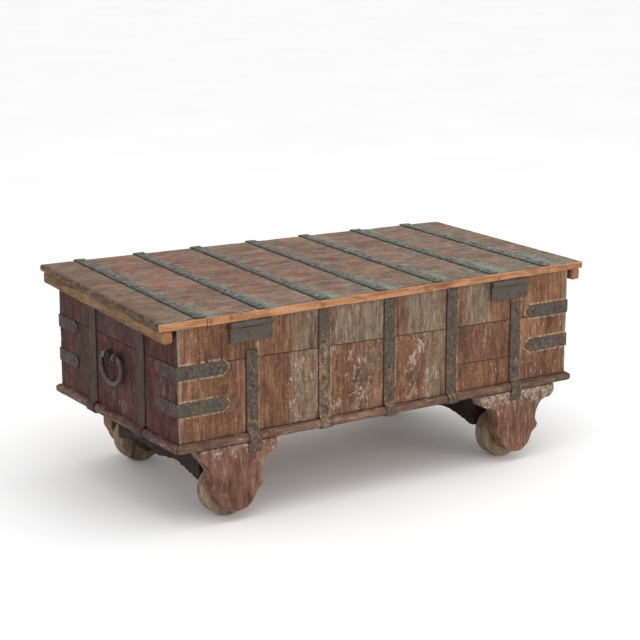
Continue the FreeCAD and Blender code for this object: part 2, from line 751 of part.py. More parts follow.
def export(name, shapes):
    """Writes one node. shapes is one solid or a list of separate solids."""
    made = shapes if isinstance(shapes, list) else [shapes]
    solids = [solid for shape in made for solid in shape.Solids]
    for solid in solids:
        if not solid.isValid() or solid.Volume <= 0:
            raise ValueError(f"{name} holds a bad solid")
    shape = solids[0] if len(solids) == 1 else Part.makeCompound(solids)
    shape.exportStep(f"parts/{name}.step")


def foot_name(sx, sy):
    return f"{'left' if sx < 0 else 'right'}_{'hinge_side' if sy < 0 else 'open_side'}"


def make_box():
    recesses = [leaf_recess(x) for x in HINGE_X]
    for side in SIDES:
        export(f"base_moulding_{side}", moulding(side))
        lower, upper = plank(side, "lower"), plank(side, "upper")
        if side == "hinge_side":
            upper = upper.cut(recesses)
        if side.endswith("end"):
            sockets = staples(side)
            export(f"{side}_handle_staples", sockets)
            export(f"{side}_handle", bail(side))
            lower, upper = lower.cut(sockets), upper.cut(sockets)
            export(f"{side}_straps", [wall_strap(side, y, END_STRAP_WIDTH) for y in END_STRAP_Y])
        export(f"{side}_lower_plank", lower)
        export(f"{side}_upper_plank", upper)
    for index in range(FLOOR_BOARDS):
        export(f"floor_board_{index + 1}", floor_board(index))
    export("corner_posts", corner_posts())
    for index, strap in enumerate(long_side_straps("hinge_side")):
        export(f"hinge_side_strap_{index + 1}", strap)
    export("open_side_straps", long_side_straps("open_side"))
    for level in CORNER_STRAP_Z:
        export(f"{level}_corner_straps", corner_straps(level))
    export("body_nails", body_nails())


def make_hinges():
    for name, x in zip(("left", "right"), HINGE_X):
        export(f"{name}_hinge_body_leaf", hinge_body_leaf(x))
        export(f"{name}_hinge_lid_leaf", hinge_lid_leaf(x))
        export(f"{name}_hinge_pin", hinge_pin(x))


def make_feet():
    places = [(sx, sy) for sx in SIGNS for sy in SIGNS]
    for sx, sy in places:
        export(f"foot_cheek_{foot_name(sx, sy)}", cheek(sx, sy))
        export(f"wheel_{foot_name(sx, sy)}", wheel(sx * WHEEL_X[sy], sy))
    export("axle_pins", [axle_pin(sx * WHEEL_X[sy], sy) for sx, sy in places])
    for name, sx in zip(("left", "right"), SIGNS):
        export(f"{name}_axle_beam", axle_beam(sx))


def make_lid():
    for index in range(len(LID_BOARD_SHARES)):
        export(f"lid_board_{index + 1}", lid_board(index))
    export("lid_lipping", lid_lipping())
    for name, sx in zip(("left", "right"), SIGNS):
        export(f"{name}_lid_batten", lid_batten(sx))
    export("lid_straps", [lid_strap(x) for x in lid_strap_xs()])
    export("lid_nails", lid_nails())


os.makedirs("parts", exist_ok=True)
make_box()
make_hinges()
make_feet()
make_lid()
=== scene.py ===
import itertools
import json
import math

import bmesh
import bpy
import numpy as np
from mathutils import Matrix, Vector


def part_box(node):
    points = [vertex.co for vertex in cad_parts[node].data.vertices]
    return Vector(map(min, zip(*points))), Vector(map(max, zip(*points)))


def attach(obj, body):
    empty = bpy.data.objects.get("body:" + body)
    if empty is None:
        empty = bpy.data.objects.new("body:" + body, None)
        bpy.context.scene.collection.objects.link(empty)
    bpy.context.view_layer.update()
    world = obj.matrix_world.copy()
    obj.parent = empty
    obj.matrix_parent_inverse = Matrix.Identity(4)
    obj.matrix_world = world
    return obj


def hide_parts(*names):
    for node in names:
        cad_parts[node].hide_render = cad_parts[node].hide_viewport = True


# The looks of a worn, wheeled wooden trunk. Metres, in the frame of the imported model:
# the hinged long side faces -Y, the left end faces -X, and +Z is up.

MM = 0.001
CAMERA_AT = (-2.493, -3.847, 1.507)
CAMERA_TARGET = (0.012, 0.0, 0.350)
CAMERA_LENS = 108.4
AXES = {"X": 0, "Y": 1, "Z": 2}
LID_THICKNESS = 18 * MM
# The lid's nose: height above its underside and inset of its ends, in millimetres.
LID_NOSE = ((0, 8.0), (4, 2.0), (9, 0.0), (15, 1.5), (18, 4.0))
NOSE_LENGTH = 14 * MM
LID_STRAPS = 7
LID_STRAP_HALF = 14 * MM
CORNER_STRAP_HALF = 15.5 * MM
CORNER_STRAP_ARM = 130.5 * MM
LIPPING_JOINTS = (-0.475, -0.178, 0.486)
LIPPING_HEIGHT = 17 * MM
RECESS_HALF = 24 * MM
RECESS_DEPTH = 3.7
POST = 30 * MM


# ---- Smooth noise for shapes, the same on every run


HASH_PRIMES = (374761393, 668265263, 2147483629)
HASH_MIXER = 1274126177
LOW_32_BITS = 0xFFFFFFFF


def value_noise(points, seed):
    """Smooth noise from -1 to 1 at each row of points, whose unit is one cell."""
    cell = np.floor(points).astype(np.int64)
    part = points - cell
    part = part * part * (3 - 2 * part)
    total = np.zeros(len(points))
    for corner in itertools.product((0, 1), repeat=3):
        c = cell + corner
        mixed = (c @ np.array(HASH_PRIMES) + seed * HASH_MIXER) & LOW_32_BITS
        mixed = ((mixed ^ (mixed >> 13)) * HASH_MIXER) & LOW_32_BITS
        value = ((mixed ^ (mixed >> 16)) & 0xFFFF) / 32767.5 - 1
        total += value * np.prod(np.where(corner, part, 1 - part), axis=1)
    return total


def fractal(points, size, seed, octaves=3):
    """Layered noise about -1 to 1. size is the longest wave in metres, one number or one for each axis."""
    scaled = points / np.asarray(size)
    total, weight, reach = np.zeros(len(points)), 1.0, 0.0
    for octave in range(octaves):
        total += weight * value_noise(scaled * 2**octave + 17.3 * octave, seed + octave)
        reach += weight
        weight *= 0.5
    return total / reach


def above(values, low, high):
    """0 below low, 1 above high, and smooth between."""
    t = np.clip((values - low) / (high - low), 0, 1)
    return t * t * (3 - 2 * t)


# ---- Meshes


def new_object(name, mesh, smooth=True):
    piece = bpy.data.objects.new(name, mesh)
    bpy.context.scene.collection.objects.link(piece)
    if smooth:
        mesh.polygons.foreach_set("use_smooth", [True] * len(mesh.polygons))
    return piece


def positions(mesh):
    co = np.zeros(len(mesh.vertices) * 3, np.float32)
    mesh.vertices.foreach_get("co", co)
    return co.reshape(-1, 3).astype(float)


def set_positions(mesh, points):
    mesh.vertices.foreach_set("co", points.astype(np.float32).ravel())
    mesh.update()


def normals(mesh):
    no = np.zeros(len(mesh.vertices) * 3, np.float32)
    mesh.vertex_normals.foreach_get("vector", no)
    return no.reshape(-1, 3).astype(float)


def store(mesh, name, values):
    """A number per vertex, which the materials read."""
    layer = mesh.attributes.new(name, "FLOAT", "POINT")
    layer.data.foreach_set("value", values.astype(np.float32))


def ticks(low, high, step, fine):
    """Positions from low to high: close together at the rounded ends, and step apart between."""
    near = [t for t in fine if t < (high - low) / 2 - 0.2 * MM]
    inner_low, inner_high = low + near[-1], high - near[-1]
    count = max(1, round((inner_high - inner_low) / step))
    middle = [inner_low + (inner_high - inner_low) * i / count for i in range(1, count)]
    return np.array([low + t for t in near] + middle + [high - t for t in reversed(near)])


def lattice_box(lines):
    """The skin of a box whose faces are cut along the given lines on each axis: points and quads."""
    shape = tuple(len(v) for v in lines)
    shell = np.zeros(shape, bool)
    for axis in range(3):
        for end in (0, -1):
            shell[tuple(end if a == axis else slice(None) for a in range(3))] = True
    ids = np.full(shape, -1)
    ids[shell] = np.arange(shell.sum())
    points = np.stack(np.meshgrid(*lines, indexing="ij"), -1)[shell]
    quads = []
    for axis in range(3):
        for end in (0, -1):
            face = np.take(ids, end, axis)
            quad = np.stack([face[:-1, :-1], face[1:, :-1], face[1:, 1:], face[:-1, 1:]], -1).reshape(-1, 4)
            quads.append(quad[:, ::-1] if (axis == 1) == (end == -1) else quad)
    return points, np.concatenate(quads)


EDGE_TICKS = [t * MM for t in (0, 0.7, 1.5, 2.6, 4.0, 6.0, 9.0)]


def board(name, low, high, grain, seed, edge=1.6, chips=4.0, sway=0.5, cracks=(), step=(9.0, 4.5), notches=(),
          shape=None):
    """A worn board. Its edges are rounded unevenly and chipped, its faces are slightly wavy and its cracks
    are cut along the grain. Wear is in millimetres, and nothing stands outside low and high, until shape
    moves it. A crack is (face axis, side, place across, start, end, depth); a notch is (start, end, depth)
    in the top edge."""
    low, high = np.array(low, float), np.array(high, float)
    size = high - low
    along = AXES[grain]
    lines = [ticks(low[a], high[a], step[0 if a == along else 1] * MM, EDGE_TICKS) for a in range(3)]
    for face, _, place, _, _, _ in cracks:
        across = 3 - face - along
        spread = [place + t * MM for t in (-3, -1.6, -0.8, 0, 0.8, 1.6, 3)]
        lines[across] = np.unique(np.concatenate([lines[across], spread]))
    for start, end, _ in notches:
        lines[0] = np.unique(np.concatenate([lines[0], [start - 0.3 * MM, start, end, end + 0.3 * MM]]))
    points, quads = lattice_box(lines)
    start_points = points.copy()

    wave = np.array([60, 60, 60], float) * MM
    wave[along] *= 2
    radius = edge * (1 + 0.6 * fractal(points, wave, seed))
    radius += chips * above(fractal(points, 34 * MM, seed + 5, 4), 0.22, 0.62)
    radius = np.minimum(radius * MM, size.min() * 0.42)[:, None]
    inner = np.clip(points, low + radius, high - radius)
    away = points - inner
    length = np.linalg.norm(away, axis=1, keepdims=True)
    points = inner + away * radius / np.maximum(length, 1e-9)
    worn = np.linalg.norm(points - start_points, axis=1)

    outward = away / np.maximum(length, 1e-9)
    wave[along] *= 2.5
    sag = sway * (0.5 + 0.5 * fractal(points, wave * 1.6, seed + 9))
    points = points - outward * sag[:, None] * MM

    split = np.zeros(len(points))
    for number, (face, side, place, start, end, depth) in enumerate(cracks):
        across = 3 - face - along
        flat = (high if side > 0 else low)[face]
        on_face = np.abs(start_points[:, face] - flat) < 1e-7
        wander = 2.0 * MM * fractal(np.stack([points[:, along]] * 3, 1), 90 * MM, seed + 31 + number)
        t = (start_points[:, along] - start) / (end - start)
        envelope = np.clip(np.minimum(t, 1 - t) * 8, 0, 1)
        share = on_face * envelope * np.exp(-((start_points[:, across] - place) / (1.1 * MM)) ** 2)
        points[:, face] -= side * depth * MM * share
        near = np.exp(-((start_points[:, across] - place) / (9 * MM)) ** 2) * on_face * (envelope > 0)
        points[:, across] += wander * near
        split = np.maximum(split, share)
    for start, end, depth in notches:
        inside = (start_points[:, 0] > start - 1e-6) & (start_points[:, 0] < end + 1e-6)
        top = start_points[:, 2] > high[2] - depth * MM
        points[:, 2] = np.where(inside & top, np.minimum(points[:, 2], high[2] - depth * MM), points[:, 2])

    points = np.clip(points, low, high)
    if shape is not None:
        points = shape(points)
    mesh = bpy.data.meshes.new(name)
    mesh.from_pydata(points.tolist(), [], quads.tolist())
    store(mesh, "worn", np.clip(worn / (2.2 * MM), 0, 1))
    store(mesh, "split", split)
    store(mesh, "lot", np.full(len(points), (seed * 0.618) % 1))
    store(mesh, "level", (start_points[:, 2] - low[2]) / size[2])
    return new_object(name, mesh)


def lid_rise(points):
    """How far the warped lid stands above a flat one, most at the left end of the open side."""
    front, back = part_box("lid_lipping"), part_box("lid_board_5")
    lift = back[1][2] - front[0][2] - LID_THICKNESS
    along = (back[1][0] - points[:, 0]) / (back[1][0] - back[0][0])
    across = (points[:, 1] - front[0][1]) / (back[1][1] - front[0][1])
    return lift * along * across


def warped_lid(points):
    points = points.copy()
    points[:, 2] += lid_rise(points)
    return points


def warped_lid_board(points):
    """The same, with both ends drawn in to the rounded nose of the lid."""
    points = points.copy()
    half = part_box("lid_board_1")[1][0]
    rise = (points[:, 2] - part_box("lid_lipping")[0][2]) / MM
    inset = np.interp(rise, *zip(*LID_NOSE)) * MM
    out = np.abs(points[:, 0])
    end = half - NOSE_LENGTH
    drawn = end + (out - end) * (NOSE_LENGTH - inset) / NOSE_LENGTH
    points[:, 0] = np.where(out > end, np.sign(points[:, 0]) * drawn, points[:, 0])
    return warped_lid(points)


def sloped(node, grain):
    """Moves a level plank's lower and upper edge onto those of its CAD node, which slope between the ends."""
    axis = AXES[grain]
    corners = positions(frame["nodes"][node].data)
    stations = (corners[:, axis].min(), corners[:, axis].max())
    ends = [corners[np.abs(corners[:, axis] - at) < 0.1 * MM][:, 2] for at in stations]
    low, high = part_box(node)

    def shape(points):
        points = points.copy()
        share = (points[:, axis] - stations[0]) / (stations[1] - stations[0])
        bottom = ends[0].min() + share * (ends[1].min() - ends[0].min())
        top = ends[0].max() + share * (ends[1].max() - ends[0].max())
        level = (points[:, 2] - low[2]) / (high[2] - low[2])
        points[:, 2] = bottom + level * (top - bottom)
        return points

    return shape


def joined(name, pieces):
    """One object from several."""
    bm = bmesh.new()
    for piece in pieces:
        bm.from_mesh(piece.data)
    mesh = bpy.data.meshes.new(name)
    bm.to_mesh(mesh)
    bm.free()
    for piece in pieces:
        bpy.data.meshes.remove(piece.data)
    return new_object(name, mesh)


def welded_copy(node):
    """The CAD node's mesh, with the vertices that its flat shading had split joined again."""
    bm = bmesh.new()
    bm.from_mesh(frame["nodes"][node].data)
    bmesh.ops.remove_doubles(bm, verts=bm.verts, dist=0.002 * MM)
    return bm


def settle(points, edges, passes):
    """Points drawn towards their neighbours, so that corners and edges sink in."""
    count = np.bincount(edges.ravel(), minlength=len(points))[:, None]
    for _ in range(passes):
        total = np.zeros_like(points)
        for axis in range(3):
            total[:, axis] = np.bincount(edges[:, 0], points[edges[:, 1], axis], len(points))
            total[:, axis] += np.bincount(edges[:, 1], points[edges[:, 0], axis], len(points))
        points = 0.5 * points + 0.5 * total / np.maximum(count, 1)
    return points


def carved(node, name, cell, seed, passes=10, dents=0.8, wave=28.0, spots=0.35):
    """A worn copy of a CAD node: an even mesh with unevenly rounded edges and shallow dents."""
    bm = welded_copy(node)
    mesh = bpy.data.meshes.new(name)
    bm.to_mesh(mesh)
    bm.free()
    piece = new_object(name, mesh)
    remesh = piece.modifiers.new("even", "REMESH")
    remesh.mode = "VOXEL"
    remesh.voxel_size = cell * MM
    evaluated = piece.evaluated_get(bpy.context.evaluated_depsgraph_get())
    even = bpy.data.meshes.new_from_object(evaluated)
    piece.modifiers.clear()
    piece.data = even
    bpy.data.meshes.remove(mesh)
    even.name = name
    points = positions(even)
    pairs = np.zeros(len(even.edges) * 2, np.int32)
    even.edges.foreach_get("vertices", pairs)
    pairs = pairs.reshape(-1, 2)
    sunk = settle(points, pairs, passes)
    share = 0.35 + 0.65 * above(fractal(points, wave * MM, seed, 3), -0.15, spots)
    moved = points + (sunk - points) * share[:, None]
    worn = np.linalg.norm(moved - points, axis=1)
    set_positions(even, moved)
    hollow = 0.5 + 0.5 * fractal(moved, wave * 1.7 * MM, seed + 3, 4)
    moved = moved - normals(even) * (hollow * dents * MM)[:, None]
    low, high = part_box(node)
    set_positions(even, np.clip(moved, np.array(low), np.array(high)))
    store(even, "worn", np.clip(worn / (1.2 * MM), 0, 1))
    even.polygons.foreach_set("use_smooth", [True] * len(even.polygons))
    return piece


def forged(node, name, step, seed, ripple=0.7, bevel=0.5, rise=0.35):
    """An uneven copy of a thin iron CAD node: cut into a net, with wavy edges and soft corners."""
    bm = welded_copy(node)
    bmesh.ops.dissolve_limit(bm, angle_limit=math.radians(0.5), verts=bm.verts, edges=bm.edges)
    low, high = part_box(node)
    for axis in range(3):
        span = high[axis] - low[axis]
        if span < 5 * MM:
            continue
        count = max(1, round(span / (step * MM)))
        for i in range(1, count):
            at, normal = [0.0] * 3, [0.0] * 3
            at[axis], normal[axis] = low[axis] + span * i / count, 1.0
            bmesh.ops.bisect_plane(bm, geom=bm.verts[:] + bm.edges[:] + bm.faces[:], plane_co=at,
                                   plane_no=normal)
    sharp = [e for e in bm.edges if len(e.link_faces) == 2 and e.calc_face_angle(0) > math.radians(50)]
    bmesh.ops.bevel(bm, geom=sharp, offset=bevel * MM, segments=2, profile=0.6, affect="EDGES",
                    clamp_overlap=True)
    mesh = bpy.data.meshes.new(name)
    bm.to_mesh(mesh)
    bm.free()
    points = positions(mesh)
    facing = np.abs(normals(mesh))
    shift = np.stack([fractal(points, 26 * MM, seed + a, 3) for a in range(3)], 1)
    moved = points + shift * np.where(facing > 0.9, rise, ripple) * MM
    set_positions(mesh, np.clip(moved, np.array(low), np.array(high)))
    return new_object(name, mesh)


def stands_for(piece, node, material, body):
    """Places a finished piece: it rides on the body, stands for the CAD node and gets its material."""
    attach(piece, body)
    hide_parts(node)
    piece.data.materials.clear()
    piece.data.materials.append(material)
    return piece


# ---- Materials


class Shader:
    """A node material, built with short calls. Places are the object's own coordinates, in metres."""

    def __init__(self, name):
        self.material = bpy.data.materials.new(name)
        self.material.use_nodes = True
        self.tree = self.material.node_tree
        self.tree.nodes.clear()
        place = self.add("ShaderNodeTexCoord").outputs["Object"]
        self.x, self.y, self.z = self.add("ShaderNodeSeparateXYZ", {0: place}).outputs
        # Boards of different lots have different grain.
        lot = self.add("ShaderNodeVectorMath", {0: self.attribute("lot"), 1: (1.3, 2.1, 1.7)},
                       operation="MULTIPLY")
        self.place = self.add("ShaderNodeVectorMath", {0: place, 1: lot.outputs[0]},
                              operation="ADD").outputs[0]

    def add(self, kind, inputs=None, **settings):
        node = self.tree.nodes.new(kind)
        for name, value in settings.items():
            setattr(node, name, value)
        for key, value in (inputs or {}).items():
            self.plug(node.inputs[key], value)
        return node

    def plug(self, socket, value):
        if isinstance(value, bpy.types.NodeSocket):
            self.tree.links.new(value, socket)
        elif isinstance(value, tuple) and len(value) == 3 and socket.type == "RGBA":
            socket.default_value = (*value, 1.0)
        else:
            socket.default_value = value

    def noise(self, scale, stretch=(1, 1, 1), shift=0.0, detail=4.0, rough=0.55, warp=0.0):
        """Fractal noise, about 0.5. stretch above 1 squeezes the pattern along that axis."""
        where = self.add("ShaderNodeMapping",
                         {"Vector": self.place, "Scale": stretch, "Location": (shift,) * 3})
        made = self.add("ShaderNodeTexNoise", {
            "Vector": where.outputs[0], "Scale": scale, "Detail": detail, "Roughness": rough,
            "Distortion": warp})
        return made.outputs["Fac"]

    def math(self, kind, a, b=0.5, clamp=False):
        return self.add("ShaderNodeMath", {0: a, 1: b}, operation=kind, use_clamp=clamp).outputs[0]

    def span(self, value, low, high, to_low=0.0, to_high=1.0):
        """value from low to high becomes to_low to to_high, and stays inside them."""
        made = self.add("ShaderNodeMapRange", {0: value, 1: low, 2: high, 3: to_low, 4: to_high}, clamp=True)
        return made.outputs[0]

    def ramp(self, value, stops, mode="LINEAR"):
        """Colours or numbers along a value: stops are (place, colour or number)."""
        made = self.add("ShaderNodeValToRGB", {0: value})
        band = made.color_ramp
        band.interpolation = mode
        while len(band.elements) < len(stops):
            band.elements.new(0.5)
        for element, (place, colour) in zip(band.elements, stops):
            element.position = place
            element.color = (*colour, 1.0) if isinstance(colour, tuple) else (colour,) * 3 + (1.0,)
        return made.outputs[0]

    def window(self, value, low, high, soft):
        """1 between low and high, falling to 0 over the soft distance outside."""
        return self.math("MULTIPLY", self.span(value, low - soft, low),
                         self.span(value, high, high + soft, 1.0, 0.0))

    def profile(self, value, stops):
        """A number that follows the given (place, number) stops, in metres."""
        low, high = stops[0][0], stops[-1][0]
        return self.ramp(self.span(value, low, high), [((at - low) / (high - low), n) for at, n in stops])

    def product(self, *factors):
        total = factors[0]
        for factor in factors[1:]:
            total = self.math("MULTIPLY", total, factor)
        return total

    def mix(self, share, one, other, blend="MIX"):
        made = self.add("ShaderNodeMix", {0: share, 6: one, 7: other}, data_type="RGBA", blend_type=blend)
        return made.outputs[2]

    def attribute(self, name):
        return self.add("ShaderNodeAttribute", attribute_name=name).outputs["Fac"]

    def bump(self, height, depth, normal=None):
        """Height from 0 to 1 stands for depth, in millimetres."""
        inputs = {"Height": height, "Distance": depth * MM, "Strength": 1.0}
        if normal is not None:
            inputs["Normal"] = normal
        return self.add("ShaderNodeBump", inputs).outputs[0]

    def surface(self, colour, roughness, normal, metallic=0.0, specular=0.22):
        principled = self.add("ShaderNodeBsdfPrincipled", {
            "Base Color": colour, "Roughness": roughness, "Normal": normal,
            "Metallic": metallic, "Specular IOR Level": specular})
        output = self.add("ShaderNodeOutputMaterial")
        self.tree.links.new(principled.outputs[0], output.inputs[0])
        return self.material


def tone(r, g, b):
    """A colour given as it looks on screen, from 0 to 255, in the linear values that shaders use."""
    return tuple(((c / 255) / 12.92 if c <= 10 else (((c / 255) + 0.055) / 1.055) ** 2.4) for c in (r, g, b))


def stretched(grain, length, width):
    """The squeeze for a pattern drawn out along the grain: cells are length by width, in millimetres."""
    squeeze = [1000.0 / width] * 3
    squeeze[AXES[grain]] = 1000.0 / length
    return tuple(squeeze)


def worn_wood(name, grain, wood, layers, rough=(0.62, 0.9), grain_depth=0.55, dirt=0.7, pale_edges=0.6,
              shift=0.0, contrast=0.3, checks=0.7, reach=1.0, painted=None):
    """Old wood with what is left of its paint. wood is (dark, middle, light); each layer is a function of
    the shader that returns (share, colour), and painted is a mask for them all. reach scales the length of
    the figure."""
    s = Shader(name)
    broad = s.noise(1.0, stretched(grain, 420 * reach, 90), shift, 3.0)
    figure = s.noise(1.0, stretched(grain, 170 * reach, 11), shift + 3, 5.0, 0.62, 0.6)
    fibre = s.noise(1.0, stretched(grain, 42, 3.0), shift + 7, 4.0, 0.72)
    grit = s.noise(1.0, (170, 170, 170), shift + 5, 4.0, 0.8)
    mixed = s.math("ADD", s.math("MULTIPLY", broad, 0.4), s.math("MULTIPLY", figure, 0.6))
    colour = s.ramp(mixed, [(0.36, wood[0]), (0.50, wood[1]), (0.63, wood[2])])
    height = s.math("ADD", s.math("MULTIPLY", figure, 0.6), s.math("MULTIPLY", fibre, 0.4))
    coat = None
    mask = painted(s) if painted else None
    for layer in layers:
        share, paint = layer(s)
        if mask is not None:
            share = s.math("MULTIPLY", share, mask)
        colour = s.mix(share, colour, paint)
        coat = share if coat is None else s.math("MAXIMUM", coat, share)
    # Fibres and grit show through the paint.
    shade = s.math("ADD", s.span(fibre, 0.36, 0.64, -contrast, contrast),
                   s.span(grit, 0.36, 0.64, 1 - 0.8 * contrast, 1 + 0.8 * contrast))
    colour = s.mix(1.0, colour, shade, "MULTIPLY")
    # Fine checks along the grain, dark and sunk.
    wander = s.noise(1.0, stretched(grain, 95, 3.4), shift + 19, 2.0, 0.5, 0.3)
    thin = s.span(s.math("ABSOLUTE", s.math("SUBTRACT", wander, 0.5)), 0.004, 0.024, 1.0, 0.0)
    where = s.span(s.noise(1.0, stretched(grain, 160, 60), shift + 23, 2.0), 0.45, 0.60)
    check = s.math("MULTIPLY", thin, where)
    colour = s.mix(s.math("MULTIPLY", check, checks), colour, tone(44, 32, 26))
    # Grime in the hollows and bare, paler wood on the worn edges.
    grime = s.span(s.noise(1.0, (16, 16, 16), shift + 29, 6.0, 0.7), 0.50, 0.66)
    colour = s.mix(s.math("MULTIPLY", grime, dirt * 0.55), colour, tone(54, 40, 32))
    chipped = s.span(s.noise(1.0, (90, 90, 90), shift + 31, 4.0, 0.7), 0.44, 0.56)
    colour = s.mix(s.product(s.attribute("worn"), chipped, pale_edges), colour, wood[2])
    colour = s.mix(s.span(s.attribute("split"), 0.15, 0.7, 0.0, 0.8), colour, tone(34, 25, 20))
    normal = s.bump(height, grain_depth)
    normal = s.bump(s.math("SUBTRACT", 1.0, check), 0.6, normal)
    if coat is not None:
        normal = s.bump(coat, 0.25, normal)
    roughness = s.span(s.noise(1.0, (38, 38, 38), shift + 37, 3.0), 0.3, 0.7, *rough)
    return s.surface(colour, roughness, normal)


def old_iron(name, base, rust, layers=(), shift=0.0, rough=(0.5, 0.8), pitted=1.0):
    """Dark hammered iron with rust and, in the layers, remains of paint."""
    s = Shader(name)
    blotch = s.noise(1.0, (60, 60, 60), shift, 6.0, 0.7)
    pits = s.noise(1.0, (190, 190, 190), shift + 3, 5.0, 0.8)
    dark = tuple(c * 0.5 for c in base)
    colour = s.ramp(blotch, [(0.36, dark), (0.5, base), (0.58, base), (0.66, rust)])
    for layer in layers:
        share, paint = layer(s)
        colour = s.mix(share, colour, paint)
    colour = s.mix(1.0, colour, s.span(pits, 0.38, 0.62, 1 - 0.6 * pitted, 1 + 0.65 * pitted), "MULTIPLY")
    height = s.math("ADD", s.math("MULTIPLY", blotch, 0.6), s.math("MULTIPLY", pits, 0.4))
    return s.surface(colour, s.span(blotch, 0.3, 0.7, *rough), s.bump(height, 0.9), metallic=0.25,
                     specular=0.4)


def broken(s, scale, low, high, shift=0.0, detail=6.0, rough=0.7):
    """A ragged mask, for paint that has flaked off."""
    return s.span(s.noise(1.0, scale, shift, detail, rough), low, high)


# ---- Where the paint is: the inner faces are bare


def lid_top(s):
    return s.span(s.attribute("level"), 0.15, 0.45)


def outside_of_side(s):
    face = s.span(s.math("ABSOLUTE", s.y), 0.284, 0.289)
    return s.math("MAXIMUM", face, s.span(s.math("ABSOLUTE", s.x), 0.547, 0.5485))


def outside_of_end(s):
    return s.span(s.math("ABSOLUTE", s.x), 0.541, 0.546)


# ---- Layers of the lid


def strap_phase(s):
    """Distance to the right of the nearest lid strap's middle, from minus to plus half a step."""
    low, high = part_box("lid_straps")
    first, last = low[0] + LID_STRAP_HALF, high[0] - LID_STRAP_HALF
    step = (last - first) / (LID_STRAPS - 1)
    turns = s.math("ADD", s.math("DIVIDE", s.math("SUBTRACT", s.x, first), step), 10.5)
    return s.math("MULTIPLY", s.math("SUBTRACT", s.math("FRACT", turns, 0.0), 0.5), step)


def lid_dust(s):
    """A grey bloom in streaks over most of the lid."""
    film = s.noise(1.0, (20, 55, 55), 47, 6.0, 0.76)
    return s.span(film, 0.44, 0.63, 0.0, 0.7), tone(124, 112, 98)


def lid_olive(s):
    """Olive-brown blotches, strongest at the left end of the lid."""
    left = s.span(s.x, -0.50, -0.44, 0.12, 0.0)
    value = s.math("ADD", s.noise(1.0, (16, 28, 28), 50, 6.0, 0.72), left)
    return s.span(value, 0.47, 0.60, 0.0, 0.8), tone(100, 82, 65)


def lid_lines(s):
    """Dark scratches along the lid."""
    return s.product(broken(s, (9, 110, 110), 0.56, 0.63, 49, 5.0), 0.5), tone(76, 56, 46)


def lid_paint(s):
    """Grey-green remains: thicker to the right, along the near edge and beside the straps."""
    film = s.noise(1.0, (45, 95, 95), 41, 7.0, 0.75)
    right = s.span(s.x, -0.60, 0.60, -0.04, 0.07)
    beside = s.span(s.math("ABSOLUTE", strap_phase(s)), 0.014, 0.038, 0.095, 0.0)
    near = s.span(s.y, -0.29, -0.08, 0.085, 0.0)
    value = s.math("ADD", s.math("ADD", film, right), s.math("ADD", beside, near))
    hue = s.ramp(s.noise(1.0, (60, 60, 60), 43, 5.0, 0.7),
                 [(0.40, tone(92, 98, 84)), (0.60, tone(134, 134, 116))])
    return s.span(value, 0.555, 0.64, 0.0, 0.8), hue


def lid_teal(s):
    """Brighter grey-blue patches to the right of the straps, towards the lid's near edge."""
    beside = s.window(strap_phase(s), 0.012, 0.040, 0.012)
    near = s.span(s.y, -0.285, -0.10, 0.12, 0.0)
    right = s.span(s.x, -0.60, 0.60, -0.03, 0.04)
    value = s.math("ADD", s.noise(1.0, (60, 30, 60), 45, 6.0, 0.72), s.math("ADD", near, right))
    return s.product(beside, s.span(value, 0.53, 0.63), 0.75), tone(112, 136, 128)


def lid_dark_end(s):
    """The rough, dark nose of the lid's left end, with yellowish flecks."""
    share = s.span(s.x, -0.576, -0.588)
    hue = s.ramp(s.noise(1.0, (90, 90, 90), 46, 5.0, 0.75),
                 [(0.48, tone(62, 50, 42)), (0.66, tone(126, 106, 74))])
    return s.product(share, 0.85), hue


def fresh_ends(s):
    """The near ends of the battens are as fresh as the lipping."""
    return s.span(s.y, -0.285, -0.2965), tone(158, 108, 70)


def knots(s):
    """Small dark knots in the lipping."""
    share = None
    for x, z in ((-0.467, 0.474), (-0.415, 0.477), (-0.171, 0.475), (0.115, 0.477), (0.330, 0.471)):
        dx, dz = s.math("SUBTRACT", s.x, x), s.math("SUBTRACT", s.z, z)
        apart = s.math("SQRT", s.math("ADD", s.math("MULTIPLY", dx, dx), s.math("MULTIPLY", dz, dz)), 0.0)
        spot = s.span(apart, 0.002, 0.008, 0.7, 0.0)
        share = spot if share is None else s.math("MAXIMUM", share, spot)
    return share, tone(128, 70, 36)


def lipping_stain(s):
    """Darker stains, more towards the right."""
    value = s.math("ADD", s.noise(1.0, (22, 80, 80), 48, 6.0, 0.7), s.span(s.x, -0.2, 0.6, -0.02, 0.05))
    return s.span(value, 0.52, 0.66, 0.0, 0.55), tone(122, 78, 50)


# ---- Layers of the hinged side


def hinge_side_straps():
    """Middles of the straps on the hinged side, and half their width."""
    boxes = [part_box(f"hinge_side_strap_{i}") for i in range(1, 6)]
    return [(low[0] + high[0]) / 2 for low, high in boxes], (boxes[0][1][0] - boxes[0][0][0]) / 2


def is_upper(s):
    """1 on the upper plank of the hinged side."""
    joint = s.profile(s.x, [(-0.55, 0.380), (0.55, 0.360)])
    return s.math("GREATER_THAN", s.z, joint)


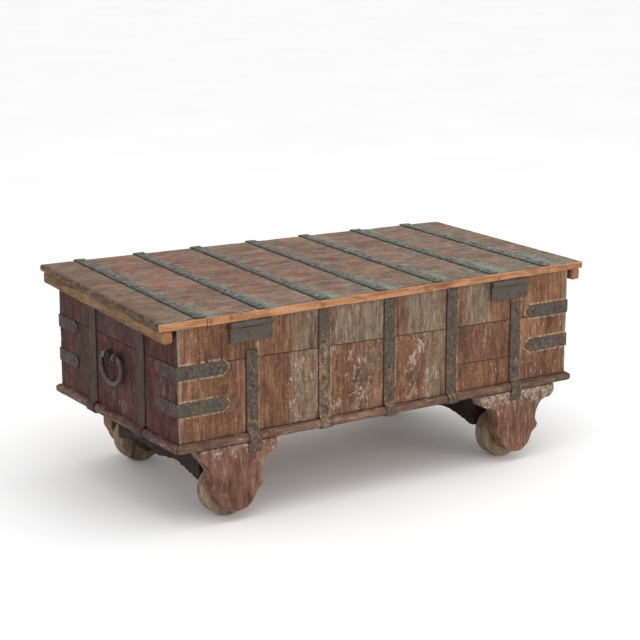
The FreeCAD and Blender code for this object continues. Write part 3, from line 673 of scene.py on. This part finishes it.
def side_beige(s):
    """Grey-beige paint in upright strokes, kept mostly in the middle panels of the hinged side."""
    wide = s.noise(1.0, (85, 85, 7), 51, 5.0, 0.6)
    fine = s.noise(1.0, (330, 330, 26), 52, 4.0, 0.75)
    stroke = s.math("ADD", s.math("MULTIPLY", wide, 0.6), s.math("MULTIPLY", fine, 0.4))
    upper = s.profile(s.x,
                      [(-0.55, 0.30), (-0.30, 0.32), (-0.255, 0.50), (-0.19, 0.55), (-0.15, 0.45),
                       (-0.115, 0.64),
                            (-0.005, 0.62), (0.03, 0.32), (0.08, 0.66), (0.175, 0.58), (0.215, 0.25),
                            (0.245, 0.52), (0.308, 0.62), (0.315, 0.25), (0.55, 0.25)])
    lower = s.profile(s.x, [(-0.55, 0.30), (-0.262, 0.30), (-0.255, 0.58), (-0.19, 0.55), (-0.145, 0.35),
                            (-0.075, 0.35), (-0.06, 0.50), (-0.005, 0.50), (0.03, 0.30), (0.11, 0.35),
                            (0.13, 0.56),
                            (0.175, 0.50), (0.205, 0.30), (0.29, 0.42), (0.32, 0.25), (0.55, 0.28)])
    amount = s.mix(is_upper(s), lower, upper)
    value = s.math("ADD", stroke, s.math("MULTIPLY", s.math("SUBTRACT", amount, 0.5), 0.7))
    hue = s.ramp(s.noise(1.0, (120, 120, 24), 53, 5.0, 0.7),
                 [(0.38, tone(102, 89, 73)), (0.62, tone(140, 124, 104))])
    return s.span(value, 0.46, 0.56, 0.0, 0.9), hue


def side_red(s):
    """Reddish remains under the beige."""
    return s.product(broken(s, (75, 75, 20), 0.50, 0.58, 57), 0.5), tone(122, 82, 60)


def side_dark(s):
    """Dark stains in upright streaks."""
    return s.product(broken(s, (55, 55, 12), 0.53, 0.62, 58), 0.55), tone(62, 45, 37)


def side_white(s):
    """Ragged whitish flecks, mostly in two places of the lower plank."""
    lower = s.profile(s.x, [(-0.55, 0.02), (-0.29, 0.03), (-0.255, 0.10), (-0.185, 0.09), (-0.155, 0.15),
                            (-0.10, 0.19), (-0.06, 0.13), (-0.02, 0.05), (0.05, 0.06), (0.085, 0.17),
                            (0.13, 0.14), (0.16, 0.05), (0.40, 0.03), (0.46, 0.07), (0.55, 0.07)])
    upper = s.profile(s.x,
                      [(-0.55, 0.08), (-0.50, 0.06), (-0.47, 0.0), (0.30, 0.0), (0.40, 0.03), (0.55, 0.05)])
    amount = s.mix(is_upper(s), lower, upper)
    cluster = s.span(s.noise(1.0, (36, 36, 24), 56, 3.0), 0.42, 0.60, 0.15, 1.0)
    fleck = s.noise(1.0, (190, 190, 95), 59, 6.0, 0.78)
    value = s.math("ADD", fleck, s.math("MULTIPLY", amount, cluster))
    return s.span(value, 0.625, 0.685, 0.0, 0.75), tone(180, 162, 144)


def side_scrapes(s):
    """Bare, bright orange-brown wood in ragged level scrapes, most of them at both ends of the side."""
    ends = s.span(s.math("ABSOLUTE", s.x), 0.36, 0.44, -0.03, 0.02)
    value = s.math("ADD", s.noise(1.0, (26, 60, 75), 66, 6.0, 0.74), ends)
    return s.span(value, 0.54, 0.62, 0.0, 0.5), tone(134, 92, 62)


def beside_straps(s):
    """A dark line at the left of each strap, and chipped pale wood at its right."""
    middles, half = hinge_side_straps()
    dark = pale = None
    for middle in middles:
        left = s.window(s.x, middle - half - 2.2 * MM, middle - half, 0.8 * MM)
        right = s.window(s.x, middle + half, middle + half + 4 * MM, 1.5 * MM)
        dark = left if dark is None else s.math("MAXIMUM", dark, left)
        pale = right if pale is None else s.math("MAXIMUM", pale, right)
    return dark, pale


def strap_shadow(s):
    return s.product(beside_straps(s)[0], 0.75), tone(40, 30, 25)


def strap_chips(s):
    return s.product(beside_straps(s)[1], broken(s, (120, 120, 60), 0.43, 0.53, 60),
                     0.85), tone(162, 132, 102)


def corner_strap_chips(s):
    """A chipped, pale outline round the pointed corner straps."""
    nearest = None
    for level in ("upper", "lower"):
        low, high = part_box(f"{level}_corner_straps")
        left, right = low[2] + CORNER_STRAP_HALF, high[2] - CORNER_STRAP_HALF
        middle = s.profile(s.x, [(-0.55, left), (-0.01, left), (0.01, right), (0.55, right)])
        up = s.math("ABSOLUTE", s.math("SUBTRACT", s.z, middle))
        inward = s.math("SUBTRACT", s.math("ABSOLUTE", s.x), high[0] - CORNER_STRAP_ARM)
        point = s.math("SUBTRACT", s.math("SUBTRACT", up, s.math("MULTIPLY", inward, 0.8)), 5 * MM)
        outside = s.math("MAXIMUM", s.math("SUBTRACT", up, CORNER_STRAP_HALF), point)
        outside = s.math("MAXIMUM", outside, s.math("MULTIPLY", inward, -1.0))
        nearest = outside if nearest is None else s.math("MINIMUM", nearest, outside)
    rim = s.window(nearest, 0.0, 4.5 * MM, 1.5 * MM)
    return s.product(rim, broken(s, (110, 110, 110), 0.42, 0.52, 62), 0.85), tone(164, 142, 116)


def end_grain(s):
    """The plank's end shows on the end of the chest and is painted with it."""
    share = s.span(s.math("ABSOLUTE", s.x), 0.5486, 0.5494)
    hue = s.ramp(s.noise(1.0, (90, 90, 20), 69, 5.0, 0.7),
                 [(0.40, tone(46, 28, 27)), (0.62, tone(88, 58, 50))])
    return share, hue


def corner_stripes(s):
    """Grey-blue and pale orange stripes at the left corner, worn pale at the right corner."""
    ragged = broken(s, (70, 70, 26), 0.40, 0.52, 64)
    left = s.span(s.x, -0.538, -0.542)
    right = s.span(s.x, 0.541, 0.547)
    hue = s.mix(s.span(s.x, -0.5435, -0.5455), tone(152, 126, 98), tone(112, 116, 108))
    hue = s.mix(right, hue, tone(150, 140, 130))
    return s.product(s.math("MAXIMUM", left, right), ragged, 0.75), hue


# ---- Layers of the ends, base and feet


def end_maroon(s):
    """Maroon paint, worn through in upright streaks; it is more violet in the middle of the end."""
    wide = s.noise(1.0, (50, 50, 7), 61, 6.0, 0.68)
    amount = s.profile(s.y,
                       [(-0.29, 0.06), (-0.15, 0.05), (-0.10, 0.07), (0.09, 0.05), (0.13, -0.04),
                        (0.29, -0.05)])
    violet = s.product(s.window(s.y, -0.09, 0.08, 0.03), s.span(s.z, 0.36, 0.42))
    hue = s.ramp(s.noise(1.0, (40, 40, 14), 63, 5.0, 0.7),
                 [(0.38, tone(52, 20, 20)), (0.62, tone(88, 39, 36))])
    hue = s.mix(s.product(violet, 0.6), hue, tone(78, 64, 66))
    return s.span(s.math("ADD", wide, amount), 0.46, 0.58, 0.0, 0.88), hue


def end_scuffs(s):
    """Pale upright scuffs, most of them low down and near the lower corner strap."""
    patch = s.math("MAXIMUM", s.product(s.window(s.y, -0.27, -0.21, 0.02), s.window(s.z, 0.29, 0.34, 0.02)),
                   s.product(s.window(s.y, -0.05, 0.03, 0.03), s.window(s.z, 0.22, 0.27, 0.03)))
    value = s.math("ADD", s.noise(1.0, (80, 80, 26), 67, 6.0, 0.72), s.math("MULTIPLY", patch, 0.10))
    return s.span(value, 0.60, 0.70, 0.0, 0.6), tone(118, 98, 86)


def end_wrap(s):
    """The corner straps' arms on the ends are painted over with the wall."""
    share = s.math("MULTIPLY", s.span(s.math("ABSOLUTE", s.x), 0.5500, 0.5508),
                   s.span(s.math("ABSOLUTE", s.y), 0.2945, 0.2925))
    hue = s.ramp(s.noise(1.0, (60, 60, 16), 89, 5.0, 0.7),
                 [(0.42, tone(46, 32, 28)), (0.60, tone(72, 50, 42))])
    return s.product(share, broken(s, (60, 60, 30), 0.36, 0.50, 90)), hue


def end_specks(s):
    return s.product(broken(s, (230, 230, 110), 0.64, 0.69, 68), 0.6), tone(140, 120, 106)


def foot_cream(s):
    """Cream paint left at the tops of the feet, more of it on the right."""
    ragged = s.noise(1.0, (85, 85, 60), 71, 7.0, 0.74)
    top = s.span(s.z, 0.11, 0.178, -0.14, 0.08)
    side = s.span(s.x, -0.2, 0.2, -0.02, 0.05)
    value = s.math("ADD", ragged, s.math("ADD", top, side))
    hue = s.ramp(s.noise(1.0, (120, 120, 120), 72, 4.0, 0.7),
                 [(0.4, tone(128, 112, 96)), (0.6, tone(190, 176, 158))])
    return s.span(value, 0.53, 0.62, 0.0, 0.85), hue


def foot_mottle(s):
    """Brown and reddish mottling of the feet."""
    value = s.noise(1.0, (34, 34, 22), 73, 6.0, 0.72)
    return s.span(value, 0.48, 0.60, 0.0, 0.6), tone(118, 80, 64)


def foot_plug(s):
    """The slightly lighter oval on the left foot, taken for a wooden plug."""
    dx, dz = s.math("SUBTRACT", s.x, -0.436), s.math("MULTIPLY", s.math("SUBTRACT", s.z, 0.085), 0.55)
    apart = s.math("SQRT", s.math("ADD", s.math("MULTIPLY", dx, dx), s.math("MULTIPLY", dz, dz)), 0.0)
    share = s.product(s.span(apart, 0.0090, 0.0135, 0.6, 0.0), s.span(s.y, -0.2990, -0.2998))
    return s.product(share, broken(s, (120, 120, 120), 0.34, 0.50, 74)), tone(152, 106, 82)


def moulding_pale(s):
    return s.product(broken(s, (45, 45, 110), 0.54, 0.64, 77), 0.6), tone(156, 130, 110)


def moulding_red(s):
    return s.product(broken(s, (26, 60, 90), 0.48, 0.58, 78), 0.5), tone(94, 64, 54)


# ---- Layers of the iron


def strap_rust(s):
    """Rust and pale remains, most of them on the lower half of the straps."""
    low = s.span(s.z, 0.20, 0.42, 0.04, -0.06)
    value = s.math("ADD", s.noise(1.0, (85, 85, 45), 81, 6.0, 0.75), low)
    hue = s.ramp(s.noise(1.0, (150, 150, 90), 82, 4.0, 0.7),
                 [(0.42, tone(100, 72, 52)), (0.60, tone(138, 112, 88))])
    return s.span(value, 0.54, 0.62, 0.0, 0.85), hue


def left_strap_pale(s):
    """The strap left of the middle has kept the most of its paint."""
    share = s.product(s.window(s.x, -0.19, -0.14, 0.01), s.span(s.z, 0.42, 0.36),
                      broken(s, (80, 80, 40), 0.46, 0.56, 83))
    return s.product(share, 0.7), tone(146, 116, 90)


def end_strap_paint(s):
    """The straps of the ends are painted over like the wall, in brown and maroon."""
    hue = s.ramp(s.noise(1.0, (60, 60, 12), 85, 5.0, 0.7),
                 [(0.42, tone(44, 33, 26)), (0.60, tone(72, 49, 38))])
    return broken(s, (60, 60, 16), 0.40, 0.52, 84), hue


def lid_strap_paint(s):
    """Grey-green film on the lid straps, ragged, with dark iron between."""
    side = s.span(strap_phase(s), -0.012, 0.004, -0.07, 0.03)
    film = s.math("ADD", s.noise(1.0, (90, 90, 90), 86, 6.0, 0.78), s.span(s.x, -0.6, 0.6, -0.01, 0.03))
    hue = s.ramp(s.noise(1.0, (50, 50, 50), 87, 4.0, 0.7),
                 [(0.42, tone(92, 91, 80)), (0.60, tone(122, 124, 112))])
    return s.span(s.math("ADD", film, side), 0.47, 0.55, 0.0, 0.85), hue


def rubbed(s):
    """Bright rubbed spots on the bails."""
    return s.product(broken(s, (60, 60, 60), 0.54, 0.66, 88), 0.5), tone(140, 128, 122)


def make_materials():
    brown = (tone(76, 51, 37), tone(116, 80, 58), tone(144, 107, 80))
    return {
        "lid_wood": worn_wood("lid wood", "X", (tone(92, 56, 44), tone(134, 90, 72), tone(156, 116, 96)),
                              [lid_olive, lid_lines, lid_dust, lid_paint, lid_teal, lid_dark_end], dirt=0.6,
                              contrast=0.27, checks=0.5, reach=0.5, painted=lid_top),
        "lipping_wood": worn_wood("lipping wood", "X",
                                  (tone(138, 89, 57), tone(170, 121, 83), tone(190, 143, 104)),
                                  [lipping_stain, knots], dirt=0.3, rough=(0.55, 0.75), grain_depth=0.3,
                                  shift=5.0, contrast=0.16, checks=0.4),
        "batten_wood": worn_wood("batten wood", "Y",
                                 (tone(94, 70, 45), tone(128, 98, 68), tone(150, 120, 86)),
                                 [fresh_ends], dirt=0.7, shift=9.0, contrast=0.24),
        "side_wood": worn_wood("side wood", "Z", brown,
                               [side_red, side_dark, side_scrapes, side_beige, side_white, strap_shadow,
                                strap_chips, corner_strap_chips, corner_stripes, end_grain],
                               shift=2.0, dirt=0.6, checks=0.4, contrast=0.3, reach=0.7,
                               painted=outside_of_side),
        "end_wood": worn_wood("end wood", "Z", (tone(46, 31, 23), tone(68, 46, 34), tone(92, 66, 50)),
                              [end_maroon, end_scuffs, end_specks], shift=12.0, painted=outside_of_end),
        "moulding_wood": worn_wood("moulding wood", "X",
                                   (tone(70, 51, 42), tone(112, 84, 68), tone(140, 110, 92)),
                                   [moulding_red, moulding_pale], shift=15.0),
        # The ends' moulding: its grain runs across, and its darker tone is painted shade for the dimly lit
        # ends.
        "moulding_wood_across_shaded": worn_wood("moulding wood of the ends with painted shade", "Y",
                                          (tone(54, 41, 34), tone(88, 67, 55), tone(112, 90, 76)),
                                          [moulding_red, moulding_pale], shift=16.0),
        "inner_wood": worn_wood("inner wood", "X", (tone(96, 66, 44), tone(136, 100, 70), tone(158, 122, 90)),
                                [], dirt=0.9, shift=21.0),
        "foot_wood": worn_wood("foot wood", "Z", (tone(78, 52, 40), tone(116, 82, 64), tone(146, 112, 92)),
                               [foot_mottle, foot_cream, foot_plug], shift=25.0, reach=0.4),
        "beam_wood": worn_wood("beam wood", "Y", (tone(28, 20, 16), tone(46, 34, 27), tone(66, 50, 40)), [],
                               dirt=1.0, shift=29.0),
        "wheel_wood": worn_wood("wheel wood", "Z",
                                (tone(92, 74, 58), tone(134, 113, 92), tone(156, 136, 113)), [],
                                dirt=0.9, shift=33.0, contrast=0.2, checks=0.3),
        "strap_iron": old_iron("strap iron", tone(80, 69, 60), tone(102, 80, 65),
                               [strap_rust, left_strap_pale, end_wrap]),
        "end_strap_iron": old_iron("end strap iron", tone(58, 48, 41), tone(74, 55, 44), [end_strap_paint],
                                   2.0, pitted=0.6),
        "lid_strap_iron": old_iron("lid strap iron", tone(66, 64, 60), tone(84, 74, 66), [lid_strap_paint],
                                   4.0),
        "hinge_iron": old_iron("hinge iron", tone(84, 74, 66), tone(98, 80, 68), shift=8.0, pitted=0.45),
        "handle_iron": old_iron("handle iron", tone(70, 60, 58), tone(96, 72, 58), [rubbed], 12.0,
                                (0.4, 0.65), 0.6),
        "nail_iron": old_iron("nail iron", tone(72, 62, 56), tone(98, 76, 62), shift=16.0),
    }


# ---- Pieces of the chest


def crack_set(rng, low, high, face, side, along, count, depth=(1.0, 2.2)):
    """Cracks along the grain of one face, at chosen random places."""
    across = 3 - face - along
    made = []
    for _ in range(count):
        place = rng.uniform(low[across] + 12 * MM, high[across] - 12 * MM)
        start = rng.uniform(low[along] - 0.1, high[along] - 0.12)
        end = start + rng.uniform(0.10, 0.34)
        made.append((face, side, place, start, end, rng.uniform(*depth)))
    return made


def wooden(node, grain, slot_name, materials, body, seed, cracked=None, span=None, **options):
    """A board that stands for a CAD node of one solid. span is its level box, if the node's is not level."""
    low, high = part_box(node) if span is None else span
    if cracked:
        face, side, count = cracked
        rng = np.random.default_rng(seed)
        options["cracks"] = crack_set(rng, low, high, face, side, AXES[grain], count)
    piece = board(f"{node}_worn", low, high, grain, seed, **options)
    return stands_for(piece, node, materials[slot_name], body)


def level_span(node, bottom, top):
    """A node's box, with its lowest and highest z replaced."""
    low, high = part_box(node)
    return (low[0], low[1], bottom), (high[0], high[1], top)


def make_lid(materials):
    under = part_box("lid_lipping")[0][2]
    for index in range(1, 6):
        node = f"lid_board_{index}"
        wooden(node, "X", "lid_wood", materials, "lid", 10 + index, cracked=(2, 1, 3), edge=1.4, chips=5.0,
               sway=0.9, span=level_span(node, under, under + LID_THICKNESS), shape=warped_lid_board)
    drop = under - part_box("right_lid_batten")[0][2]
    for side, seed in (("left", 21), ("right", 22)):
        node = f"{side}_lid_batten"
        wooden(node, "Y", "batten_wood", materials, "lid", seed, edge=6.0, chips=3.0,
               span=level_span(node, under - drop, under), shape=warped_lid)
    low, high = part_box("lid_lipping")
    joints = [low[0], *LIPPING_JOINTS, high[0]]
    lengths = [
        board(f"lipping_{i}", (a + 0.3 * MM, low[1], under), (b - 0.3 * MM, high[1], under + LIPPING_HEIGHT),
              "X", 30 + i, edge=1.2, chips=2.2, sway=0.9, shape=warped_lid)
        for i, (a, b) in enumerate(zip(joints, joints[1:]))
    ]
    stands_for(joined("lid_lipping_worn", lengths), "lid_lipping", materials["lipping_wood"],
               "lid")
    straps = forged("lid_straps", "lid_straps_forged", 8.0, 40, ripple=1.2)
    stands_for(straps, "lid_straps", materials["lid_strap_iron"], "lid")


def make_walls(materials):
    notches = []
    for side in ("left", "right"):
        low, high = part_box(f"{side}_hinge_lid_leaf")
        middle = (low[0] + high[0]) / 2
        notches.append((middle - RECESS_HALF, middle + RECESS_HALF, RECESS_DEPTH))
    split_x, split_z = (0.205, 0.372), 0.278
    for layer, seed in (("lower", 50), ("upper", 60)):
        extras = {"notches": notches} if layer == "upper" else {"cracks": [(1, -1, split_z, *split_x, 1.3)]}
        node = f"hinge_side_{layer}_plank"
        wooden(node, "X", "side_wood", materials, "chest", seed, shape=sloped(node, "X"), **extras)
        for number, (side, grain, face) in enumerate((("open_side", "X", (1, 1)), ("left_end", "Y", (0, -1)),
                                                      ("right_end", "Y", (0, 1)))):
            node = f"{side}_{layer}_plank"
            slot_name = "side_wood" if grain == "X" else "end_wood"
            edges = {"edge": 0.5, "chips": 1.0} if grain == "Y" else {}
            wooden(node, grain, slot_name, materials, "chest", seed + 1 + number, cracked=(*face, 1),
                   shape=sloped(node, grain), **edges)
    for index in range(1, 5):
        wooden(f"floor_board_{index}", "X", "inner_wood", materials, "chest", 70 + index, cracked=(2, 1, 2),
               edge=1.0, chips=1.5)
    low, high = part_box("corner_posts")
    posts = []
    for number, (sx, sy) in enumerate(itertools.product((0, 1), repeat=2)):
        x = low[0] if sx == 0 else high[0] - POST
        y = low[1] if sy == 0 else high[1] - POST
        posts.append(board(f"post_{number}", (x, y, low[2]), (x + POST, y + POST, high[2]), "Z", 80 + number))
    stands_for(joined("corner_posts_worn", posts), "corner_posts", materials["inner_wood"],
               "chest")


def make_base(materials):
    for side, seed in (("hinge_side", 90), ("open_side", 91), ("left_end", 92), ("right_end", 93)):
        node = f"base_moulding_{side}"
        # The ends take the darker moulding wood, whose darker tone is painted shade.
        finish = materials["moulding_wood_across_shaded" if side.endswith("end") else "moulding_wood"]
        stands_for(carved(node, f"{node}_worn", 3.0, seed, passes=4, dents=0.9), node,
                   finish, "chest")
    for number, (end, side) in enumerate(itertools.product(("left", "right"), ("hinge_side", "open_side"))):
        cheek, wheel = f"foot_cheek_{end}_{side}", f"wheel_{end}_{side}"
        stands_for(carved(cheek, f"{cheek}_worn", 2.5, 100 + number, passes=14, dents=1.2), cheek,
                   materials["foot_wood"], "chest")
        stands_for(carved(wheel, f"{wheel}_worn", 2.5, 110 + number, passes=8, dents=1.0), wheel,
                   materials["wheel_wood"], wheel)
    for number, end in enumerate(("left", "right")):
        beam = f"{end}_axle_beam"
        stands_for(carved(beam, f"{beam}_worn", 4.0, 120 + number, passes=6, dents=1.2), beam,
                   materials["beam_wood"], "chest")


def make_iron(materials):
    straps = [f"hinge_side_strap_{i}" for i in range(1, 6)]
    straps += ["open_side_straps", "left_end_straps", "right_end_straps", "upper_corner_straps",
               "lower_corner_straps"]
    for number, node in enumerate(straps):
        finish = materials["end_strap_iron" if node.endswith("end_straps") else "strap_iron"]
        stands_for(forged(node, f"{node}_forged", 8.0, 130 + number, ripple=1.0), node, finish,
                   "chest")
    for end, body in (("left", "left_handle"), ("right", "right_handle")):
        node = f"{end}_end_handle"
        stands_for(carved(node, f"{node}_forged", 1.4, 150, passes=6, dents=0.5, wave=9.0), node,
                   materials["handle_iron"], body)


def paint_cad_nodes(materials):
    """Gives the CAD nodes that are still shown their material."""
    slots = {row["node"]: row["material_slot"] for row in frame["record"]["subparts"]}
    for node, piece in frame["nodes"].items():
        if piece.hide_render:
            continue
        for place in piece.material_slots:
            place.material = materials[slots[node]]


# ---- Room, lights and camera


def make_stage():
    mesh = bpy.data.meshes.new("floor")
    half = 14.0
    mesh.from_pydata([(-half, -half, 0), (half, -half, 0), (half, half, 0), (-half, half, 0)], [],
                     [(0, 1, 2, 3)])
    floor = new_object("floor", mesh, smooth=False)
    s = Shader("studio floor")
    tint = s.ramp(s.noise(1.0, (1.5, 1.5, 1.5), 0.0, 2.0),
                  [(0.3, (0.94, 0.94, 0.94)), (0.7, (0.97, 0.97, 0.97))])
    mesh.materials.append(s.surface(tint, 0.85, s.bump(s.noise(1.0, (300, 300, 300)), 0.05)))
    world = bpy.data.worlds.new("studio")
    world.use_nodes = True
    world.node_tree.nodes["Background"].inputs[0].default_value = (1.0, 1.0, 1.0, 1.0)
    world.node_tree.nodes["Background"].inputs[1].default_value = 1.0
    bpy.context.scene.world = world


def softbox(name, at, target, size, power):
    lamp = bpy.data.lights.new(name, "AREA")
    lamp.shape = "RECTANGLE"
    lamp.size, lamp.size_y = size
    lamp.energy = power
    holder = bpy.data.objects.new(name, lamp)
    holder.location = at
    holder.rotation_mode = "QUATERNION"
    holder.rotation_quaternion = (Vector(target) - Vector(at)).to_track_quat("-Z", "Y")
    bpy.context.scene.collection.objects.link(holder)


def make_lights():
    softbox("overhead", (0.3, -0.8, 3.4), (0, 0, 0.3), (3.2, 2.4), 28)
    softbox("front", (1.6, -4.2, 2.2), (0, 0, 0.3), (2.4, 2.0), 30)
    softbox("left", (-4.2, -1.2, 1.8), (0, 0, 0.3), (2.0, 1.8), 6)


def make_camera():
    lens = bpy.data.cameras.new("camera")
    lens.lens = CAMERA_LENS
    lens.sensor_width = 36.0
    camera = bpy.data.objects.new("camera", lens)
    camera.location = CAMERA_AT
    camera.rotation_mode = "QUATERNION"
    camera.rotation_quaternion = (Vector(CAMERA_TARGET) - Vector(CAMERA_AT)).to_track_quat("-Z", "Y")
    bpy.context.scene.collection.objects.link(camera)
    bpy.context.scene.camera = camera


with open("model.json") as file:
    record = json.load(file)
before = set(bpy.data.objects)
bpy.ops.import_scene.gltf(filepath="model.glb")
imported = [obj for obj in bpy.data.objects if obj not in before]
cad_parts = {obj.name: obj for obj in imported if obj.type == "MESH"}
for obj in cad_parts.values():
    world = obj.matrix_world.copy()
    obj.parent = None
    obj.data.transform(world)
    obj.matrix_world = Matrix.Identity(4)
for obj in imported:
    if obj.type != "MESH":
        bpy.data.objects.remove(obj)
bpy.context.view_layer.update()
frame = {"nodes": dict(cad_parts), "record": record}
make_camera()
make_stage()
make_lights()
bpy.context.scene.view_settings.view_transform = "Standard"
materials = make_materials()
make_lid(materials)
make_walls(materials)
make_base(materials)
make_iron(materials)
paint_cad_nodes(materials)
